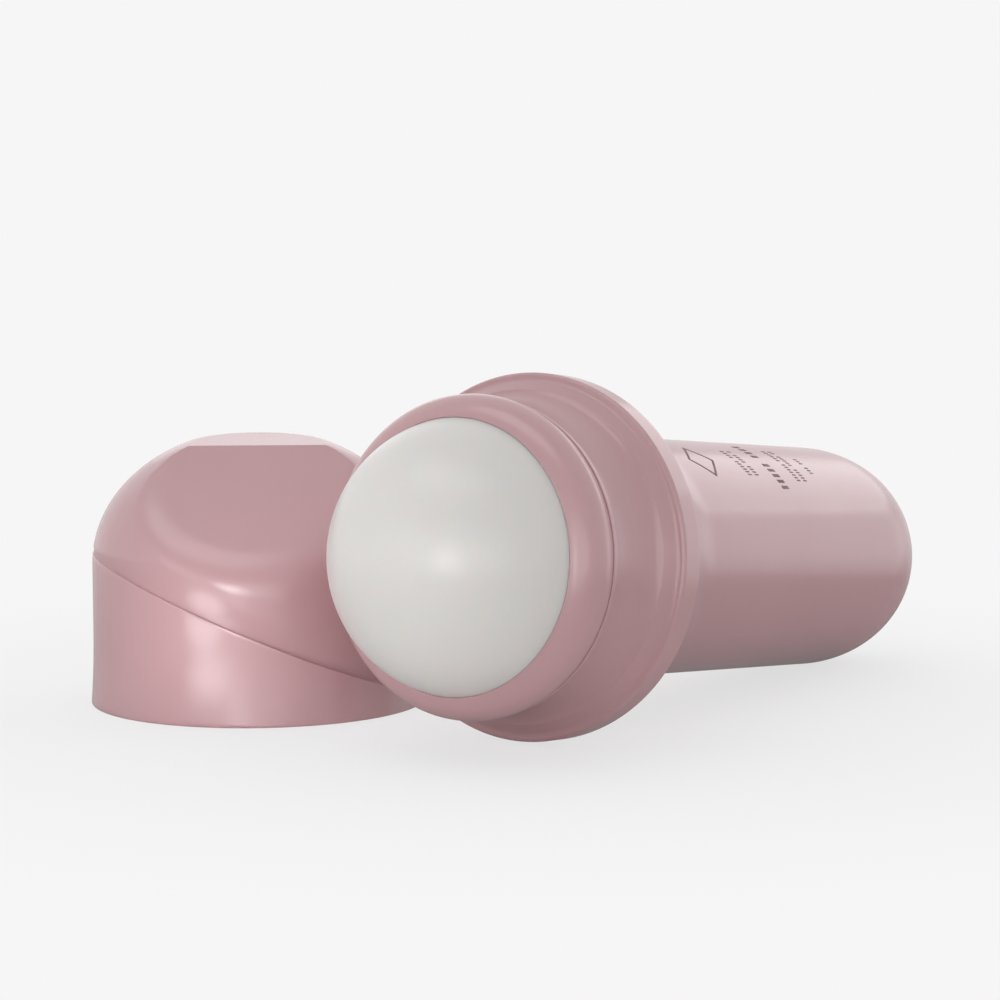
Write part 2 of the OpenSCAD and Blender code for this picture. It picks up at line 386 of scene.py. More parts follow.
@dataclass(frozen=True)
class Lying:
    """Where the lying bottle and the standing cap are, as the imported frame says.

    Args:
        ball_centre: The centre of the ball.
        toward_base: The bottle's axis, from the ball to the base.
        cap_foot: The point of the cap's axis on the floor.
    """

    ball_centre: Vector
    toward_base: Vector
    cap_foot: Vector

    @classmethod
    def from_frame(cls) -> "Lying":
        """Reads the places from the frame's joints, mounts and boxes.

        Returns:
            The places.
        """
        joints = {joint["name"]: joint for joint in frame["joints"]}
        mounts = {mount["name"]: mount for mount in frame["record"]["mounts"]}
        low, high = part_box("cap_shell")
        return cls(
            ball_centre=Vector(joints["roller_spin"]["pos_m"]),
            toward_base=Vector(mounts["base_foot"]["axis"]).normalized(),
            cap_foot=Vector(((low.x + high.x) / 2, (low.y + high.y) / 2, low.z)),
        )

    def bottle_matrix(self, ball_up: float) -> Matrix:
        """Places a piece drawn on the bottle's axis, with height zero at the flange's widest plane.

        Args:
            ball_up: The height of the ball's centre above that plane.

        Returns:
            The matrix into the frame. The piece's own x points up, and its y to the cap's side.
        """
        up = -self.toward_base
        side = Vector((0, 1, 0))
        top = side.cross(up)
        origin = self.ball_centre - up * ball_up
        return Matrix(
            (
                (top.x, side.x, up.x, origin.x),
                (top.y, side.y, up.y, origin.y),
                (top.z, side.z, up.z, origin.z),
                (0, 0, 0, 1),
            )
        )

    def cap_matrix(self, facet_turn: float) -> Matrix:
        """Places a piece drawn on the cap's axis, with its facet towards its own x."""
        return Matrix.Translation(self.cap_foot) @ Matrix.Rotation(math.radians(facet_turn), 4, "Z")


def new_group(name: str, inputs: dict[str, float], outputs: Sequence[str]) -> Tree:
    """Starts a shader node group of plain values.

    Args:
        name: The group's name.
        inputs: The default of each input value, by its name.
        outputs: The name of each output value.

    Returns:
        The group, with its input and output nodes named inside.
    """
    group = bpy.data.node_groups.new(name, "ShaderNodeTree")
    for label, value in inputs.items():
        socket = group.interface.new_socket(label, in_out="INPUT", socket_type="NodeSocketFloat")
        socket.default_value = value
    for label in outputs:
        group.interface.new_socket(label, in_out="OUTPUT", socket_type="NodeSocketFloat")
    group.nodes.new("NodeGroupInput").name = "in"
    group.nodes.new("NodeGroupOutput").name = "out"
    return group


def feed(tree: Tree, node: bpy.types.Node, feeds: dict[str | int, object]) -> None:
    """Links or sets a node's inputs.

    Args:
        tree: The tree that holds the node.
        node: The node.
        feeds: For each input, by name or number, the socket that feeds it or its plain value.
    """
    for key, source in feeds.items():
        if isinstance(source, Socket):
            tree.links.new(source, node.inputs[key])
        else:
            node.inputs[key].default_value = source


def add_node(
    tree: Tree, kind: str, feeds: dict[str | int, object] | None = None, **values: object
) -> bpy.types.Node:
    """Adds a node, sets its properties and feeds its inputs.

    Args:
        tree: The tree that takes the node.
        kind: The node's type name.
        feeds: For each input, by name or number, the socket that feeds it or its plain value.
        **values: Properties to set on the node.

    Returns:
        The new node.
    """
    node = tree.nodes.new(kind)
    for key, value in values.items():
        setattr(node, key, value)
    feed(tree, node, feeds or {})
    return node


def noise(tree: Tree, where: Socket, scale: Socket, detail: float) -> Socket:
    """Returns a noise at a place, with features of a scale and some finer layers."""
    feeds = {"Vector": where, "Scale": scale, "Detail": detail}
    return add_node(tree, "ShaderNodeTexNoise", feeds).outputs["Fac"]


def remap(tree: Tree, value: Socket, ends: dict[str, float], kind: str = "LINEAR") -> Socket:
    """Maps a value from one range to another, each from 0 to 1 where its ends don't say else."""
    feeds = {"Value": value} | ends
    return add_node(tree, "ShaderNodeMapRange", feeds, interpolation_type=kind).outputs["Result"]


def reckon(tree: Tree, operation: str, first: Socket, second: Socket) -> Socket:
    """Returns what a Math node makes of two values."""
    return add_node(tree, "ShaderNodeMath", {0: first, 1: second}, operation=operation).outputs["Value"]


def mix_colours(tree: Tree, share: Socket, first: Colour, second: Colour) -> Socket:
    """Returns the first colour where the share is 0 and the second where it is 1."""
    feeds = {"Factor": share, "A": first, "B": second}
    return add_node(tree, "ShaderNodeMix", feeds, data_type="RGBA").outputs["Result"]


def mix_shaders(tree: Tree, share: Socket, first: Socket, second: Socket) -> Socket:
    """Returns the first shader where the share is 0 and the second where it is 1."""
    return add_node(tree, "ShaderNodeMixShader", {"Fac": share, 1: first, 2: second}).outputs["Shader"]


def cleared_tree(owner: bpy.types.World | bpy.types.Material) -> Tree:
    """Turns on the nodes of a world or a material and clears them.

    Args:
        owner: The world or the material.

    Returns:
        Its empty tree.
    """
    owner.use_nodes = True
    owner.node_tree.nodes.clear()
    return owner.node_tree


def moulded_group() -> Tree:
    """Builds the group that gives moulded plastic its faint flow mottle and its skin texture.

    Returns:
        The group, with a Mottle output from 0 to 1 and a Skin output as a height from 0 to 1.
    """
    found = bpy.data.node_groups.get("moulded_skin")
    if found:
        return found
    scales = {"Flow Scale": FLOW_SCALE, "Skin Scale": SKIN_SCALE}
    group = new_group("moulded_skin", scales, ("Mottle", "Skin"))
    given = group.nodes["in"].outputs
    places = add_node(group, "ShaderNodeTexCoord").outputs["Object"]
    flow = noise(group, places, given["Flow Scale"], 3.0)
    mottle = remap(group, flow, {"From Min": 0.3, "From Max": 0.7})
    skin = noise(group, places, given["Skin Scale"], 2.0)
    feed(group, group.nodes["out"], {"Mottle": mottle, "Skin": skin})
    return group


@dataclass(frozen=True)
class PlasticFinish:
    """A moulded plastic's finish.

    Args:
        name: The material's name.
        colour: Its main colour.
        shade: Its colour in the darker drifts of the flow mottle.
        roughness: Its roughness.
        roughness_drift: How far the mottle moves the roughness.
        skin_depth: The depth of its fine skin texture, in metres.
        flow_scale: Features of the flow mottle in a metre.
        skin_scale: Features of the skin texture in a metre.
        subsurface: How much light spreads inside.
        spread: How far that light goes, in metres.
        ior: Its index of refraction.
    """

    name: str
    colour: Colour
    shade: Colour
    roughness: float
    roughness_drift: float = 0.015
    skin_depth: float = 0.000002
    flow_scale: float = FLOW_SCALE
    skin_scale: float = SKIN_SCALE
    subsurface: float = 0.0
    spread: float = 0.002
    ior: float = 1.5

    def material(self) -> bpy.types.Material:
        """Builds the material, or finds the one already built.

        Returns:
            The material.
        """
        found = bpy.data.materials.get(self.name)
        if found:
            return found
        made = bpy.data.materials.new(self.name)
        made.use_nodes = True
        tree = made.node_tree
        scales = {"Flow Scale": self.flow_scale, "Skin Scale": self.skin_scale}
        skin = add_node(tree, "ShaderNodeGroup", scales, node_tree=moulded_group())
        mottle = skin.outputs["Mottle"]
        feeds = {
            "Base Color": mix_colours(tree, mottle, self.shade, self.colour),
            "Roughness": self.satin(tree, mottle),
            "Normal": self.relief(tree, skin.outputs["Skin"]),
            "IOR": self.ior,
            "Subsurface Weight": self.subsurface,
            "Subsurface Scale": self.spread,
        }
        feed(tree, tree.nodes["Principled BSDF"], feeds)
        return made

    def satin(self, tree: Tree, mottle: Socket) -> Socket:
        """Returns the roughness, which drifts with the mottle."""
        least, most = self.roughness - self.roughness_drift, self.roughness + self.roughness_drift
        return remap(tree, mottle, {"To Min": most, "To Max": least})

    def relief(self, tree: Tree, skin: Socket) -> Socket:
        """Returns the normal with the skin's fine bump."""
        feeds = {"Distance": self.skin_depth, "Height": skin}
        return add_node(tree, "ShaderNodeBump", feeds).outputs["Normal"]


ROSE = PlasticFinish(
    name="rose_satin_plastic",
    colour=linear(189, 150, 154),
    shade=linear(187, 148, 152),
    roughness=0.22,
    ior=1.57,
)
MILKY = PlasticFinish(
    name="milky_ball_plastic",
    colour=linear(214, 211, 208),
    shade=linear(212, 209, 206),
    roughness=0.3,
    roughness_drift=0.02,
    flow_scale=140.0,
    subsurface=0.25,
    spread=0.003,
)
NATURAL = PlasticFinish(
    name="natural_liner_plastic",
    colour=linear(232, 230, 226),
    shade=linear(224, 221, 216),
    roughness=0.42,
    subsurface=0.3,
    spread=0.001,
)
INK = PlasticFinish(
    name="brown_print_ink",
    colour=linear(104, 52, 50),
    shade=linear(92, 44, 43),
    roughness=0.5,
    roughness_drift=0.08,
    flow_scale=700.0,
)


def seat(piece: Piece, finish: PlasticFinish, body: Body, slot: Slot, *nodes: str) -> Piece:
    """Gives a piece its material and its body, and hides the nodes that it stands for.

    Args:
        piece: The finished piece.
        finish: Its finish.
        body: The body that it rides on.
        slot: The record's slot for its finish; not used.
        *nodes: The nodes that it replaces.

    Returns:
        The same piece.
    """
    piece.data.materials.clear()
    piece.data.materials.append(finish.material())
    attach(piece, body.value)
    if nodes:
        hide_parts(*nodes)
    return piece


@dataclass
class Head:
    """The sizes that the ball, its housing, the neck and the cap share.

    Heights are above the widest plane of the bottle's flange.

    Args:
        neck_up: The height of the neck's top.
        ball_up: The height of the ball's centre.
        ball_r: The ball's radius.
        ball_clear: The gap between the ball and its socket.
        head_r: The radius of the housing's head at its widest.
        head_round: The radius of its rounding up to the lip.
        lip_up: The height of the lip above the ball's centre.
        collar_r: The radius of the collar's lower edge.
        collar_h: The height of the collar.
        neck_r: The radius of the neck.
        neck_bore: The radius of the neck's bore.
        plug_l: The depth of the housing's plug.
        wall: The wall of the plug and the socket cup.
    """

    neck_up: float = 11 * MM
    ball_up: float = 13.57 * MM
    ball_r: float = 15.875 * MM
    ball_clear: float = 0.15 * MM
    head_r: float = 18.275 * MM
    head_round: float = 3.6 * MM
    lip_up: float = 3.7 * MM
    collar_r: float = 17.975 * MM
    collar_h: float = 0.9 * MM
    neck_r: float = 17.175 * MM
    neck_bore: float = 16.375 * MM
    plug_l: float = 9.5 * MM
    wall: float = 0.9 * MM

    @property
    def socket_r(self) -> float:
        """The radius of the ball's socket."""
        return self.ball_r + self.ball_clear

    @property
    def lip_h(self) -> float:
        """The height of the lip above the flange's widest plane."""
        return self.ball_up + self.lip_up

    def socket_at(self, height: float) -> float:
        """Returns the socket's radius at a height above the flange's widest plane."""
        return math.sqrt(max(0.0, self.socket_r**2 - (height - self.ball_up) ** 2))


@dataclass
class Bottle:
    """The blown bottle with its rounded base, waist, flare, flange and neck.

    Args:
        head: The sizes shared with the housing.
        length: From the base to the widest plane of the flange.
        body_r: The body's radius above the base rounding.
        waist_r: The body's radius where the flare begins.
        wall: The wall of the body.
        base_round_h: The height of the rounded base end.
        foot_r: The radius of the flat foot.
        foot_land: The width of the ring that it stands on.
        foot_round: The rounding of that ring's inner edge.
        push_up: The depth of the hollow under the foot.
        push_turn: Where the hollow's curve ends before the foot, in degrees.
        flange_r: The radius of the flange.
        flange_round: The rounding of the flange's edges.
        skirt_drop: The drop of the straight skirt below the widest plane.
        skirt_lead: How far below the skirt the last stretch of the flare aims.
        skirt_turn: Where the skirt's lower rounding starts, in degrees.
        flare_l: The length of the flare.
        flare_drop: The drop from the widest plane to the top of the flare.
        flare_in: The step in from the skirt to the top of the flare.
        ledge_up: The height of the cap's ledge.
        ledge_r: The inner radius of the ledge.
        ledge_round: The rounding between the ledge and the slope inside it.
        front_edge_r: The radius of the shoulder's front edge.
        front_edge_up: Its height.
        edge_round: Its rounding.
        neck_land: The straight part of the neck.
        cove_turn: How far the cove turns, in degrees.
        slope_turn: Where the edge's rounding leaves the slope, in degrees.
        edge_turn: Where the edge's rounding meets the cove, in degrees.
        around: The number of steps round the axis.
    """

    head: Head
    length: float = 83.3 * MM
    body_r: float = 15.1 * MM
    waist_r: float = 14.7 * MM
    wall: float = 1.2 * MM
    base_round_h: float = 16.3 * MM
    foot_r: float = 5.9 * MM
    foot_land: float = 1.4 * MM
    foot_round: float = 0.3 * MM
    push_up: float = 1.2 * MM
    push_turn: float = 8.0
    flange_r: float = 21.365 * MM
    flange_round: float = 0.5 * MM
    skirt_drop: float = 0.8 * MM
    skirt_lead: float = 0.4 * MM
    skirt_turn: float = -50.0
    flare_l: float = 17.5 * MM
    flare_drop: float = 3.4 * MM
    flare_in: float = 1.8 * MM
    ledge_up: float = 2.4 * MM
    ledge_r: float = 20.465 * MM
    ledge_round: float = 0.7 * MM
    front_edge_r: float = 19.465 * MM
    front_edge_up: float = 3.8 * MM
    edge_round: float = 0.4 * MM
    neck_land: float = 0.9 * MM
    cove_turn: float = 80.0
    slope_turn: float = 41.0
    edge_turn: float = 66.0
    around: int = 384

    def flare_arc(self) -> tuple[float, float]:
        """Works out the arc of the flare from its length and its rise.

        Returns:
            The arc's radius, and its turn in degrees.
        """
        rise = self.flange_r - self.flare_in - self.waist_r
        run = self.flare_l - self.flare_drop
        radius = (run * run + rise * rise) / (2 * rise)
        return radius, math.degrees(math.asin(run / radius))

    def base_points(self) -> list[Point]:
        """Draws the foot, the rounded base and the body, up to the waist.

        Returns:
            The outline's points.
        """
        foot = -self.length
        hollow_r = self.foot_r - self.foot_land
        centre = foot + self.base_round_h
        points = arc((0, foot), (hollow_r, self.push_up), 90, self.push_turn, 16)
        points += rounded(points[-1], (hollow_r, foot), (self.foot_r, foot), self.foot_round, 4)
        points += arc((self.foot_r, centre), (self.body_r - self.foot_r, self.base_round_h), -90, 0, 40)
        return points + stretch(points[-1], (self.waist_r, -self.flare_l), 40)

    def shoulder_points(self) -> list[Point]:
        """Draws the flare, the flange and the ledge.

        Returns:
            The outline's points.
        """
        radius, turn = self.flare_arc()
        points = circle((self.waist_r + radius, -self.flare_l), radius, 180, 180 - turn, 36)
        middle = self.flange_r - self.flange_round
        skirt = -self.skirt_drop
        points += stretch(points[-1], (middle + self.flange_round / 2, skirt - self.skirt_lead), 4)
        points += circle((middle, skirt), self.flange_round, self.skirt_turn, 0, 8)
        points += stretch((self.flange_r, skirt), (self.flange_r, self.ledge_up), 6)
        points += circle((middle, self.ledge_up - self.flange_round), self.flange_round, 0, 90, 8)
        inner, edge = (self.ledge_r, self.ledge_up), (self.front_edge_r, self.front_edge_up)
        return points + rounded(points[-1], inner, edge, self.ledge_round, 6, room=0.9)

    def neck_points(self) -> list[Point]:
        """Draws the front edge, the cove and the neck.

        Returns:
            The outline's points.
        """
        edge = (self.front_edge_r - self.edge_round, self.front_edge_up - self.edge_round)
        points = circle(edge, self.edge_round, self.slope_turn, self.edge_turn, 8)
        end_r, end_h = points[-1]
        neck_r, turn = self.head.neck_r, math.radians(self.cove_turn)
        cove_r = (end_r - neck_r) / (1 - math.cos(turn))
        cove_top = self.head.neck_up - self.neck_land
        cove_h = (cove_top - end_h) / math.sin(turn)
        cove = arc((neck_r + cove_r, cove_top), (cove_r, cove_h), 180 + self.cove_turn, 180, 32)
        return points + cove[1:] + [(neck_r, self.head.neck_up)]

    def inside_points(self) -> list[Point]:
        """Draws the inside, from the neck's bore down to the floor.

        Returns:
            The outline's points.
        """
        head = self.head
        radius, turn = self.flare_arc()
        radius += self.wall
        centre_r = self.waist_r + radius - self.wall
        top_r = centre_r - radius * math.cos(math.radians(turn))
        top_h = -self.flare_l + radius * math.sin(math.radians(turn))
        bore_low = head.neck_up - head.plug_l - self.wall
        bulge = (top_r - head.neck_bore, bore_low - top_h)
        points = [(head.neck_bore, head.neck_up)] + arc((head.neck_bore, top_h), bulge, 90, 0, 10)
        points += circle((centre_r, -self.flare_l), radius, 180 - turn, 180, 20)
        floor = -self.length + self.push_up + self.wall
        in_foot = self.foot_r - self.wall / 2
        in_body = self.body_r - self.wall
        round_h = -self.length + self.base_round_h
        points += arc((in_foot, round_h), (in_body - in_foot, round_h - floor), 0, -90, 24)
        return points + [(0, floor)]

    def build(self, place: Matrix) -> Piece:
        """Builds the bottle as one closed wall and dresses it.

        Args:
            place: Sets the bottle down in the frame.

        Returns:
            The piece.
        """
        outside = self.base_points() + self.shoulder_points() + self.neck_points()
        outline = outside + self.inside_points()
        piece = spin("bottle_wall", lambda turn: outline, even_turns(self.around), place)
        even_shading(piece)
        return seat(piece, ROSE, Body.BOTTLE, Slot.BOTTLE, "bottle_body")

    def radius_at(self, height: float) -> float:
        """Measures the body between the base rounding and the waist.

        Args:
            height: The height above the flange's widest plane, which is below zero there.

        Returns:
            The body's outer radius.
        """
        low, high = -self.length + self.base_round_h, -self.flare_l
        share = max(0.0, min(1.0, (height - low) / (high - low)))
        return self.body_r + (self.waist_r - self.body_r) * share


@dataclass
class Housing:
    """The snap-in housing: head with the holding lip, socket cup, plug and feed notches.

    Args:
        head: The sizes shared with the bottle and the cap.
        feed_r: The radius of the opening under the ball.
        feed_flare: How much wider that opening is on the cup's outside.
        notch_l: How far each feed notch reaches out.
        notch_w: The width of each feed notch.
        notches: The number of feed notches.
        plug_clear: The gap between the plug and the neck's bore.
        bead_r: Half the thickness of the plug's retaining bead.
        lip_close: How much the lip itself closes in on the ball.
        lip_round: The rounding of the lip's inner edge.
        lip_under: How far out and how far down from its edge the lip's underside heads.
        lip_land: How far under the lip the round socket starts.
        collar_round: The rounding of the collar's two edges.
        around: The number of steps round the axis.
    """

    head: Head
    feed_r: float = 9 * MM
    feed_flare: float = 0.02 * MM
    notch_l: float = 1.6 * MM
    notch_w: float = 2.2 * MM
    notches: int = 6
    plug_clear: float = 0.03 * MM
    bead_r: float = 0.27 * MM
    lip_close: float = 0.09 * MM
    lip_round: float = 0.08 * MM
    lip_under: Point = (0.05 * MM, 0.5 * MM)
    lip_land: float = 0.3 * MM
    collar_round: float = 0.22 * MM
    around: int = 480

    def opening_at(self, turn: float) -> float:
        """Measures the feed opening, which is wider at the notches.

        Args:
            turn: The angle round the axis, in radians.

        Returns:
            The opening's radius there.
        """
        share = turn / (2 * math.pi) * self.notches
        off = abs(share - round(share)) * 2 * math.pi / self.notches
        return self.feed_r + self.notch_l if off * self.feed_r < self.notch_w / 2 else self.feed_r

    def lip_points(self) -> list[Point]:
        """Draws the head's outside, from the collar up to the lip.

        Returns:
            The outline's points.
        """
        head = self.head
        top = head.neck_up + head.collar_h
        middle = (head.head_r - head.head_round, head.lip_h - head.head_round)
        low_turn = math.degrees(math.asin((top - middle[1]) / head.head_round))
        lip_r = head.socket_at(head.lip_h) - self.lip_close
        turn = math.degrees(math.acos((lip_r + self.lip_round - middle[0]) / head.head_round))
        curve = circle(middle, head.head_round, low_turn, turn, 52)
        low, high = (head.collar_r, head.neck_up), (head.collar_r, top)
        points = rounded((head.neck_r, head.neck_up), low, high, self.collar_round, 5)
        points += rounded(low, high, curve[0], self.collar_round, 5) + curve
        edge = (lip_r, points[-1][1])
        under = (lip_r + self.lip_under[0], points[-1][1] - self.lip_under[1])
        return points + rounded(points[-1], edge, under, self.lip_round, 3)

    def cup_points(self, turn: float) -> list[Point]:
        """Draws the socket, the seat, the cup's outside and the plug.

        Args:
            turn: The angle round the axis, in radians.

        Returns:
            The outline's points there.
        """
        head = self.head
        plug_r = head.neck_bore - self.plug_clear
        skirt_r = plug_r - head.wall
        plug_low = head.neck_up - head.plug_l
        opening = self.opening_at(turn)
        outer = head.socket_r + head.wall
        start = math.degrees(math.asin((head.lip_up - self.lip_land) / head.socket_r))
        end = -math.degrees(math.acos(opening / head.socket_r))
        centre = (0.0, head.ball_up)
        points = circle(centre, head.socket_r, start, end, 40)
        out_low = -math.degrees(math.acos((opening + self.feed_flare) / outer))
        out_high = -math.degrees(math.acos(skirt_r / outer))
        points += circle(centre, outer, out_low, out_high, 16)
        points += [(skirt_r, plug_low), (plug_r, plug_low)]
        points += circle((plug_r, head.neck_up - head.plug_l / 2), self.bead_r, -90, 90, 8)
        return points + [(plug_r, head.neck_up)]

    def build(self, place: Matrix) -> Piece:
        """Builds the housing as one closed moulding and dresses it.

        Args:
            place: Sets the housing down in the frame.

        Returns:
            The piece.
        """
        lip = self.lip_points()
        turns = even_turns(self.around)
        piece = spin("ball_socket_ring", lambda turn: lip + self.cup_points(turn), turns, place)
        even_shading(piece)
        return seat(piece, ROSE, Body.BOTTLE, Slot.HOUSING, "ball_housing")


@dataclass
class Ball:
    """The hollow ball.

    Args:
        head: The sizes shared with the housing.
        wall: The wall of the ball.
        around: The number of steps round its axis.
    """

    head: Head
    wall: float = 1.4 * MM
    around: int = 256

    def build(self, place: Matrix) -> Piece:
        """Builds the ball as an outer and an inner skin and dresses it.

        Args:
            place: Sets the ball down in the frame.

        Returns:
            The piece.
        """
        centre = (0.0, self.head.ball_up)
        outer_skin = circle(centre, self.head.ball_r, -90, 90, 128)
        inner_skin = circle(centre, self.head.ball_r - self.wall, 90, -90, 48)
        turns = even_turns(self.around)
        piece = spin("hollow_ball", lambda turn: outer_skin, turns, place, closed=False)
        core = spin("ball_core", lambda turn: inner_skin, turns[::2], place, closed=False)
        core.data.flip_normals()
        with bpy.context.temp_override(active_object=piece, selected_editable_objects=[piece, core]):
            bpy.ops.object.join()
        return seat(piece, MILKY, Body.ROLLER, Slot.BALL, "roller_ball")


@dataclass
class Cap:
    """The push-on cap with its dome, tilted top, leaning facet and diagonal step.

    The cap is drawn standing on its rim, with its facet towards its own x. In its methods, turn is
    the angle from the facet's direction, in radians, and heights are above the rim.

    Args:
        rim_r: The radius of the open rim.
        wall_r: The radius of the wall above the rim's flare.
        rim_flare_h: The height over which the rim flares out.
        rim_in: The inner radius of the rim.
        rim_round: The rounding of the rim's outer edge.
        rim_in_round: The rounding of the rim's inner edge.
        inner_r: The inner radius of the wall.
        chamfer_h: The height of the chamfer inside the rim.
        dome_from: The height where the dome begins.
        dome_h: The height of the whole dome.
        dome_wall: The wall of the dome, the top and the facet.
        inner_round: The rounding inside the dome's edge.
        top_h: The height of the top face on the axis.
        top_tilt: The tilt of the top face, in degrees.
        facet_lean: The lean of the facet from upright, in degrees.
        facet_foot: The height where the facet runs out on the wall.
        facet_blend: How far the facet's soft lower edge reaches to each side.
        facet_turn: The way that the facet faces, in degrees.
        ridge_round: The rounding between the top face and the facet.
        top_blend: How far the soft edge of the top face reaches where no facet cuts it.
        facet_share: The most of a short facet that its soft edge takes.
        roof_share: The most of the roof's last stretch that a soft edge takes.
        side_share: The most of the side above the step that a soft edge takes.
        search_drop: How far under the facet's foot the search for the side's edge starts.
        look_down: How far down the side its direction at the soft edge is taken.
        corner_limit: The widest turn at which a top corner of the facet may lie, in degrees.
        step_h: The height of the diagonal step on the axis.
        step_slope: Its slope, in degrees.
        step_depth: Its depth at its deep side.
        step_lean: The inward lean of the wall above it, in degrees.
        step_round: The rounding of its outer edge.
        step_in_round: The rounding of its inner edge.
        scoop_depth: The depth of the hollow just above the step.
        scoop_h: The height over which that hollow fades.
        around: The number of steps round the axis.
    """

    rim_r: float = 21.315 * MM
    wall_r: float = 20.965 * MM
    rim_flare_h: float = 9 * MM
    rim_in: float = 20.565 * MM
    rim_round: float = 0.25 * MM
    rim_in_round: float = 0.12 * MM
    inner_r: float = 19.265 * MM
    chamfer_h: float = 1.82 * MM
    dome_from: float = 17.8 * MM
    dome_h: float = 16.8 * MM
    dome_wall: float = 1.6 * MM
    inner_round: float = 0.5 * MM
    top_h: float = 33.2 * MM
    top_tilt: float = 6.0
    facet_lean: float = 50.4
    facet_foot: float = 18.8 * MM
    facet_blend: float = 4.0 * MM
    facet_turn: float = 219.6
    ridge_round: float = 0.5 * MM
    top_blend: float = 0.7 * MM
    facet_share: float = 0.45
    roof_share: float = 0.55
    side_share: float = 0.4
    search_drop: float = 0.5 * MM
    look_down: float = 0.05 * MM
    corner_limit: float = 85.0
    step_h: float = 10.3 * MM
    step_slope: float = 23.1
    step_depth: float = 0.5 * MM
    step_lean: float = 1.5
    step_round: float = 0.15 * MM
    step_in_round: float = 0.12 * MM
    scoop_depth: float = 0.22 * MM
    scoop_h: float = 3.5 * MM
    around: int = 720

    def top_at(self, radius: float, turn: float, inset: float) -> float:
        """Returns the height of the tilted top face over a point, moved inwards by an inset."""
        tilt = math.radians(self.top_tilt)
        return self.top_h - inset / math.cos(tilt) - radius * math.cos(turn) * math.tan(tilt)

    def facet_at(self, radius: float, turn: float, inset: float) -> float:
        """Measures the facet's plane over a point.

        Args:
            radius: The point's distance from the axis.
            turn: Its angle.
            inset: How far the plane is moved inwards.

        Returns:
            The plane's height.
        """
        lean = math.radians(self.facet_lean)
        reach = self.wall_r * math.cos(lean) + self.facet_foot * math.sin(lean) - inset
        return (reach - radius * math.cos(turn) * math.cos(lean)) / math.sin(lean)

    def roof_at(self, radius: float, turn: float, inset: float) -> float:
        """Returns the height of the lower of the top face and the facet over a point."""
        return min(self.top_at(radius, turn, inset), self.facet_at(radius, turn, inset))

    def ridge_r(self, turn: float, inset: float) -> float:
        """Finds where the top face meets the facet.

        Args:
            turn: The angle.
            inset: How far the two planes are moved inwards.

        Returns:
            The distance from the axis, which is endless where they don't meet.
        """
        across = math.cos(turn)
        if across <= ALONG:
            return math.inf
        gap = self.facet_at(0, 0, inset) - self.top_at(0, 0, inset)
        facet_fall = self.facet_at(0, 0, 0) - self.facet_at(1, 0, 0)
        top_fall = self.top_at(0, 0, 0) - self.top_at(1, 0, 0)
        return gap / (across * (facet_fall - top_fall))

    def wall_at(self, height: float) -> float:
        """Measures the plain revolved form.

        Args:
            height: The height.

        Returns:
            Its outer radius.
        """
        if height < self.rim_flare_h:
            share = max(0.0, height) / self.rim_flare_h
            return self.rim_r - (self.rim_r - self.wall_r) * share * (2 - share)
        if height <= self.dome_from:
            return self.wall_r
        rise = min(1.0, (height - self.dome_from) / self.dome_h)
        return self.wall_r * math.sqrt(1 - rise * rise)

    def inside_at(self, height: float) -> float:
        """Measures the inside above the chamfer.

        Args:
            height: The height.

        Returns:
            The inner radius.
        """
        if height <= self.dome_from:
            return self.inner_r
        rise = min(1.0, (height - self.dome_from) / (self.dome_h - self.dome_wall))
        return self.inner_r * math.sqrt(1 - rise * rise)

    def step_at(self, radius: float, turn: float) -> float:
        """Returns the height of the step at a distance from the axis and an angle."""
        return self.step_h - radius * math.sin(turn) * math.tan(math.radians(self.step_slope))

    def core_at(self, height: float, turn: float) -> float:
        """Measures the leaning form above the step, with the hollow over the step.

        Args:
            height: The height.
            turn: The angle.

        Returns:
            Its radius.
        """
        core_r = self.wall_r - self.step_depth / 2
        shift = -self.step_depth / 2 + (height - self.dome_from) * math.tan(math.radians(self.step_lean))
        over_step = max(0.0, 1 - (height - self.step_at(self.wall_r, turn)) / self.scoop_h)
        reach = shift * math.sin(turn) + math.sqrt(core_r**2 - (shift * math.cos(turn)) ** 2)
        return reach - self.scoop_depth * min(1.0, over_step) ** 2

    def outer_at(self, height: float, turn: float) -> float:
        """Returns the outer radius above the step, at a height and an angle."""
        return min(self.wall_at(height), self.core_at(height, turn))

    def outer_point(self, height: float, turn: float) -> Point:
        """Returns the point of the outside above the step, at a height and an angle."""
        return (self.outer_at(height, turn), height)

    def meet(
        self, turn: float, low: float, radius_at: Callable[[float], float], inset: float
    ) -> Point:
        """Finds where the side of the cap meets the facet or the top face.

        Args:
            turn: The angle.
            low: A height at which the side is still below them.
            radius_at: Gives the side's radius at a height.
            inset: How far the two planes are moved inwards.

        Returns:
            The meeting point, as radius and height.
        """
        crown = self.dome_from + self.dome_h - inset
        height = last_passing(low, crown, lambda up: self.roof_at(radius_at(up), turn, inset) > up)
        return (radius_at(height), height)

    def outer_edge(self, turn: float) -> Point:
        """Returns the point where the outside meets the facet or the top face."""
        under_facet = self.facet_foot - self.search_drop
        return self.meet(turn, under_facet, lambda height: self.outer_at(height, turn), 0.0)

    def blend_at(self, turn: float, edge: Point) -> float:
        """Says how far the soft edge reaches, which is less where the facet is short.

        Args:
            turn: The angle.
            edge: Where the side meets the facet or the top face.

        Returns:
            The reach to each side of the edge.
        """
        ridge = self.ridge_r(turn, 0.0)
        if ridge >= edge[0]:
            return self.top_blend
        crest = (ridge, self.roof_at(ridge, turn, 0.0))
        return min(self.facet_blend, self.facet_share * distance(crest, edge))

